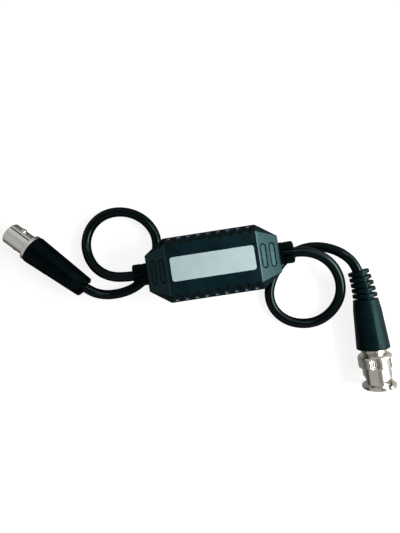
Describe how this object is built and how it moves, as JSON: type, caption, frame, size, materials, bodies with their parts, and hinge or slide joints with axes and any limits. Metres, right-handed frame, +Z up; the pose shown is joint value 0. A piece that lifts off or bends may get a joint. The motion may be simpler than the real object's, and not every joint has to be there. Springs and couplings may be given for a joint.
{
  "type": "video ground loop isolator",
  "caption": "Inline video ground loop isolator: a black faceted housing with grip flutes and a coiled coax pigtail at each end, one with a bayonet jack and one with a bayonet plug.",
  "frame": {"origin": "middle of the housing's flat bottom, on the surface the part lies on", "axes": "+X along the housing towards the plug's pigtail, +Y across it away from the plug, +Z up out of the label"},
  "size_m": [0.1598, 0.0949, 0.0206],
  "materials": {
    "housing": "moulded black, fine grain, half gloss",
    "label_stock": "pale printed film, bare",
    "relief": "moulded black over the cable",
    "cable": "glossy black sheath",
    "wire_insulation": "white inner insulation",
    "braid": "twisted copper strands",
    "board": "green solder mask",
    "ferrite": "dark sintered ferrite",
    "winding_wire": "enamelled copper",
    "capacitor": "dipped film capacitor",
    "jack_boot": "moulded black, half gloss",
    "plug_boot": "moulded black, half gloss",
    "ferrule": "crimped, nickel plated",
    "jack_nickel": "nickel plated, satin",
    "plug_nickel": "nickel plated, satin",
    "nut_nickel": "nickel plated, knurled",
    "insulator": "natural white",
    "contact_gold": "gold plated",
    "gasket": "soft rubber",
    "spring_steel": "bright spring steel"
  },
  "bodies": {
    "isolator": {"upper_shell": "housing", "lower_shell": "housing", "label": "label_stock", "strain_relief_left": "relief", "strain_relief_right": "relief", "inner_cable_left": "cable", "inner_cable_right": "cable", "core_wire_left": "wire_insulation", "core_wire_right": "wire_insulation", "braid_tail_left": "braid", "braid_tail_right": "braid", "circuit_board": "board", "toroid_core": "ferrite", "winding_input": "winding_wire", "winding_output": "winding_wire", "capacitor_input": "capacitor", "capacitor_output": "capacitor", "cable_left": "cable", "cable_right": "cable", "jack_boot": "jack_boot", "jack_inner_cable": "cable", "jack_ferrule": "ferrule", "jack_shell": "jack_nickel", "jack_insulator": "insulator", "jack_contact": "contact_gold", "plug_boot": "plug_boot", "plug_inner_cable": "cable", "plug_ferrule": "ferrule", "plug_body": "plug_nickel", "plug_insulator": "insulator", "plug_pin": "contact_gold", "plug_gasket": "gasket", "wave_washer": "spring_steel"},
    "nut_ring": {"retaining_ring": "spring_steel"},
    "nut": {"coupling_nut": "nut_nickel"}
  },
  "joints": [
    {"name": "nut_float", "type": "slide", "parent": "isolator", "child": "nut_ring", "axis": [0, -1, 0], "range_m": [0, 0.0004], "stiffness_N_per_m": 2000, "springref_m": -0.0005, "deforming": ["wave_washer"]},
    {"name": "nut_turn", "type": "hinge", "parent": "nut_ring", "child": "nut", "pos_m": [0.06248, -0.04952, 0.0073], "axis": [0, -1, 0], "continuous": true}
  ]
}
